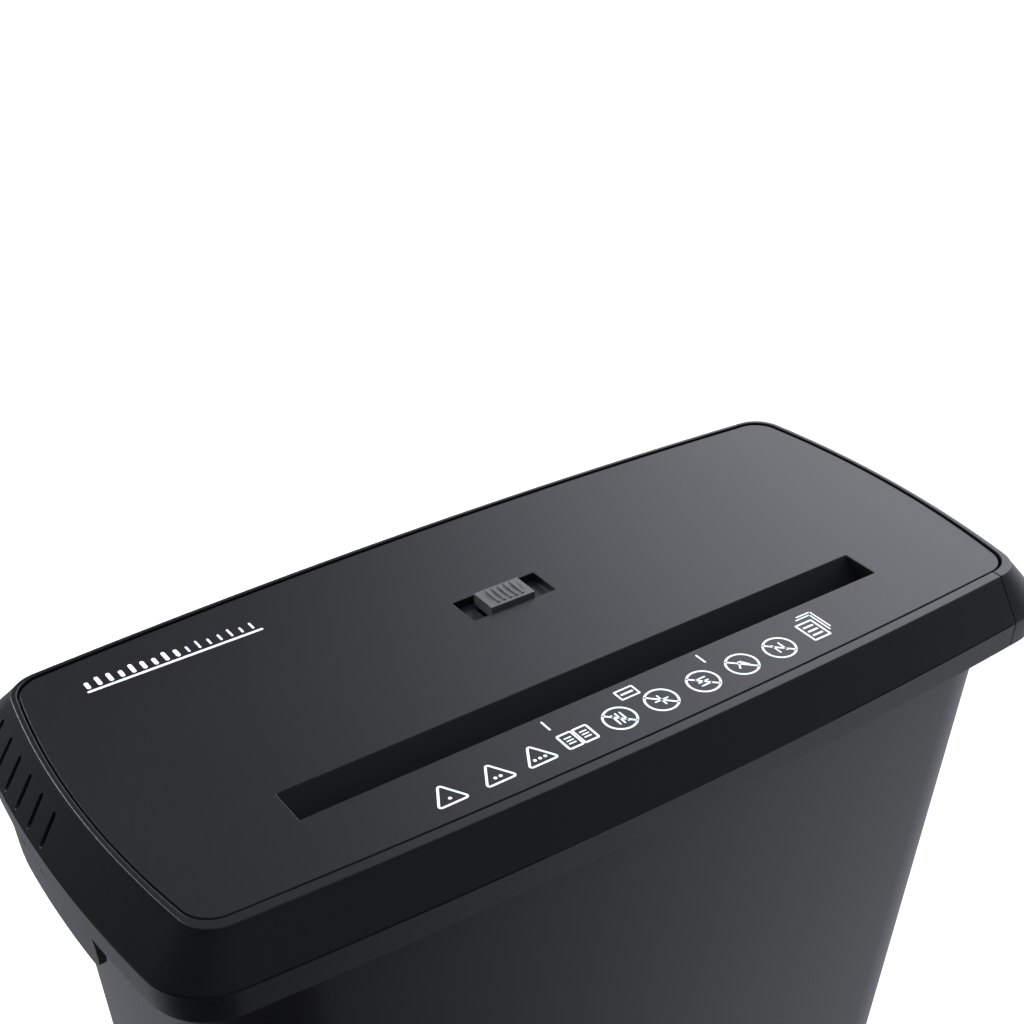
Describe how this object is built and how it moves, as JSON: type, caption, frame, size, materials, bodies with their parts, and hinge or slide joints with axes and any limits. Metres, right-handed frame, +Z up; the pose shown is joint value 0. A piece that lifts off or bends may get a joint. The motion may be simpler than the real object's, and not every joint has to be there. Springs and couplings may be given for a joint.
{
  "type": "paper shredder",
  "caption": "Paper shredder: a cutter head with a top feed slot, motor and gear train that lifts off a tapered waste bin.",
  "frame": {"origin": "on the floor, under the middle of the whole object", "axes": "+Z up, +X along the feed slot towards the end cap, the slot side faces -Y"},
  "size_m": [0.3532, 0.1718, 0.3703],
  "materials": {
    "cover_plastic": "fine satin grain",
    "panel_plastic": "satin",
    "housing_plastic": "fine satin grain",
    "bin_plastic": "smooth satin",
    "rubber": "matte",
    "plate_steel": "zinc plated",
    "cutter_steel": "oiled, machined",
    "gear_steel": "sintered, greased",
    "gear_plastic": "moulded",
    "bronze": "sintered",
    "screw_steel": "zinc plated",
    "motor_can": "drawn, plated",
    "inner_plastic": "moulded",
    "board_green": "solder resist",
    "part_blue": "moulded",
    "part_amber": "dipped",
    "switch_grey": "satin"
  },
  "bodies": {
    "bin": {"bin_body": "bin_plastic", "foot_front_left": "rubber", "foot_front_right": "rubber", "foot_rear_left": "rubber", "foot_rear_right": "rubber"},
    "cutter_front": {"cutter_shaft_front": "cutter_steel", "sync_gear_front": "gear_steel"},
    "cutter_rear": {"cutter_shaft_rear": "cutter_steel", "sync_gear_rear": "gear_steel", "final_gear": "gear_steel"},
    "gear_low": {"compound_gear_low": "gear_plastic"},
    "gear_high": {"compound_gear_high": "gear_plastic"},
    "rotor": {"motor_rotor": "cutter_steel", "motor_pinion": "gear_steel", "cooling_fan": "inner_plastic"},
    "power_slide": {"power_switch_slide": "switch_grey"},
    "sensor": {"sensor_lever": "gear_plastic"},
    "interlock": {"interlock_plunger": "gear_plastic"},
    "head": {"board_screw_1": "screw_steel", "board_screw_2": "screw_steel", "bush_front_left": "bronze", "bush_front_right": "bronze", "bush_rear_left": "bronze", "bush_rear_right": "bronze", "control_board": "board_green", "cord_gland": "rubber", "cover_screw_1": "screw_steel", "cover_screw_2": "screw_steel", "cover_screw_3": "screw_steel", "cover_screw_4": "screw_steel", "end_cap_screw_1": "screw_steel", "end_cap_screw_2": "screw_steel", "feed_guide_front": "inner_plastic", "feed_guide_rear": "inner_plastic", "filter_capacitor": "part_amber", "gear_axle_high": "screw_steel", "gear_axle_low": "screw_steel", "gear_plate": "plate_steel", "interlock_switch": "inner_plastic", "lower_housing": "housing_plastic", "motor_can": "motor_can", "motor_end_bell": "inner_plastic", "motor_screw_1": "screw_steel", "motor_screw_2": "screw_steel", "power_switch_body": "inner_plastic", "relay": "part_blue", "right_end_cap": "cover_plastic", "sensor_switch": "inner_plastic", "side_plate_left": "plate_steel", "side_plate_right": "plate_steel", "stripper_comb_front": "inner_plastic", "stripper_comb_rear": "inner_plastic", "tie_rod_front": "screw_steel", "tie_rod_rear": "screw_steel", "top_panel": "panel_plastic", "upper_cover": "cover_plastic"}
  },
  "joints": [
    {"name": "head_lift", "type": "slide", "parent": "bin", "child": "head", "axis": [0, 0, 1], "range_m": [0, 0.15]},
    {"name": "rotor_spin", "type": "hinge", "parent": "head", "child": "rotor", "pos_m": [-0.09, 0.04066, 0.30695], "axis": [1, 0, 0], "continuous": true},
    {"name": "gear_high_spin", "type": "hinge", "parent": "head", "child": "gear_high", "pos_m": [-0.126, 0.01823, 0.31741], "axis": [1, 0, 0], "continuous": true},
    {"name": "gear_low_spin", "type": "hinge", "parent": "head", "child": "gear_low", "pos_m": [-0.133, -0.00658, 0.30838], "axis": [1, 0, 0], "continuous": true},
    {"name": "cutter_rear_spin", "type": "hinge", "parent": "head", "child": "cutter_rear", "pos_m": [0, -0.0315, 0.32], "axis": [1, 0, 0], "continuous": true},
    {"name": "cutter_front_spin", "type": "hinge", "parent": "head", "child": "cutter_front", "pos_m": [0, -0.0511, 0.32], "axis": [1, 0, 0], "continuous": true},
    {"name": "power_slide_travel", "type": "slide", "parent": "head", "child": "power_slide", "axis": [1, 0, 0], "range_m": [-0.007, 0.007]},
    {"name": "sensor_lever_tilt", "type": "hinge", "parent": "head", "child": "sensor", "pos_m": [0, -0.0316, 0.344], "axis": [1, 0, 0], "range_deg": [0, 35], "stiffness_Nm_per_rad": 0.002, "springref_deg": -17.19},
    {"name": "interlock_press", "type": "slide", "parent": "head", "child": "interlock", "axis": [0, 0, 1], "range_m": [0, 0.003], "stiffness_N_per_m": 60, "springref_m": -0.002}
  ],
  "couplings": [
    {"joint": "gear_high_spin", "follows": "rotor_spin", "ratio": -0.22222},
    {"joint": "gear_low_spin", "follows": "rotor_spin", "ratio": 0.083333},
    {"joint": "cutter_rear_spin", "follows": "rotor_spin", "ratio": -0.03125},
    {"joint": "cutter_front_spin", "follows": "rotor_spin", "ratio": 0.03125}
  ]
}
